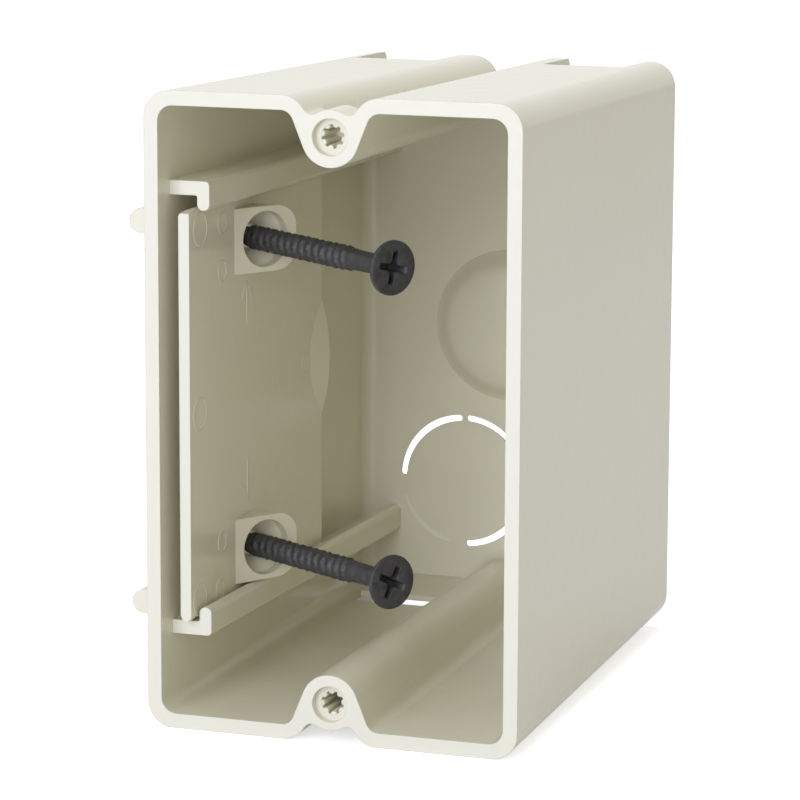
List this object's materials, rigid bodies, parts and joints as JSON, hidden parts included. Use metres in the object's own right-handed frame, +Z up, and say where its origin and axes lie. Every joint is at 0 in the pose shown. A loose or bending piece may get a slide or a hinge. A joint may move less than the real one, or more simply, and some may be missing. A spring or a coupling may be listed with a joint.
{
  "type": "new work outlet box",
  "caption": "Deep one-gang plastic wall box, open at the front, with an inside stud plate that slides in rails and carries slanted mounting screws.",
  "frame": {"origin": "midway between the two device screw holes, in the plane of the front rim", "axes": "+X right seen from the open front, +Y into the box, +Z up"},
  "size_m": [0.0644, 0.0864, 0.095],
  "materials": {
    "box_plastic": "semi-gloss warm off-white moulded plastic",
    "plate_plastic": "semi-gloss warm off-white moulded plastic",
    "black_screw": "black phosphated steel, satin"
  },
  "bodies": {
    "box": {"box_body": "box_plastic"},
    "slider": {"slider_plate": "plate_plastic", "upper_screw": "black_screw", "lower_screw": "black_screw"}
  },
  "joints": [
    {"name": "plate_slide", "type": "slide", "parent": "box", "child": "slider", "axis": [0.0192, 0.9998, 0], "range_m": [-0.002, 0.02]}
  ]
}
